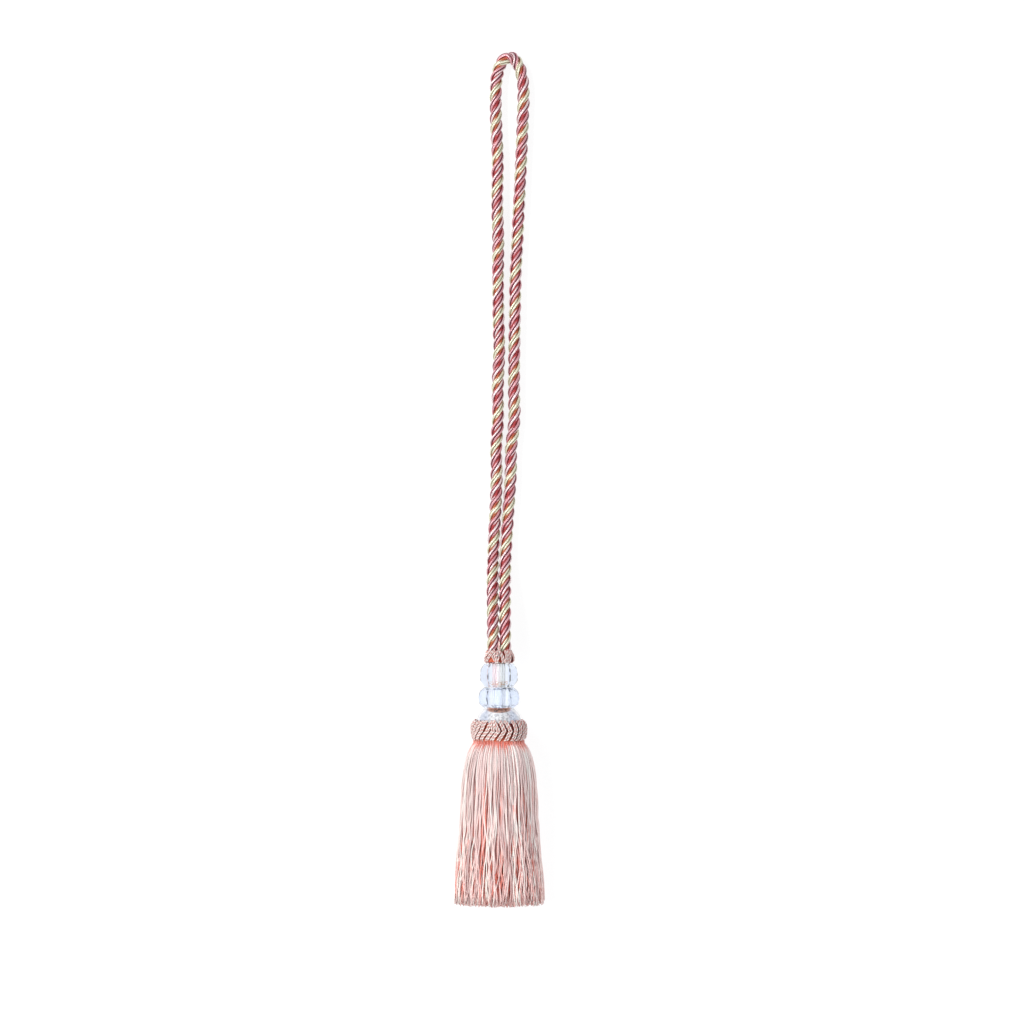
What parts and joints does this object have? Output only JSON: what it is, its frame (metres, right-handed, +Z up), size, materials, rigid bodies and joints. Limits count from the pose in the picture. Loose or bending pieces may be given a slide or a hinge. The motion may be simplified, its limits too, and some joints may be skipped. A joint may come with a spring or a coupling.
{
  "type": "curtain tieback tassel",
  "caption": "Curtain tieback tassel: a looped rose and cream twisted cord, clear cut beads and bell, a thick looped collar and a full blush thread skirt, lying on its back.",
  "frame": {"origin": "on the surface the tassel lies on, under the middle of its collar, at the flat where the collar rests", "axes": "+Z up from the surface, +Y along the tassel from the skirt's end to the top of the cord loop, +X to the right seen from above"},
  "size_m": [0.0608, 0.5791, 0.038],
  "materials": {
    "cord_thread": "silky twisted cord, two rose plies and one cream ply",
    "ruff_thread": "doubled pale blush and grey thread loops with coral between them",
    "clear_stone": "clear, polished, cut in facets",
    "core_thread": "wound thread, terracotta at its waist",
    "skirt_thread": "silky blush and ivory threads, coral at the root"
  },
  "bodies": {
    "root": {"tie_cord": "cord_thread", "top_ruff": "ruff_thread", "upper_bead": "clear_stone", "second_bead": "clear_stone", "bell_bead": "clear_stone", "bead_core": "core_thread", "collar_ruff": "ruff_thread", "thread_skirt": "skirt_thread"}
  },
  "joints": []
}
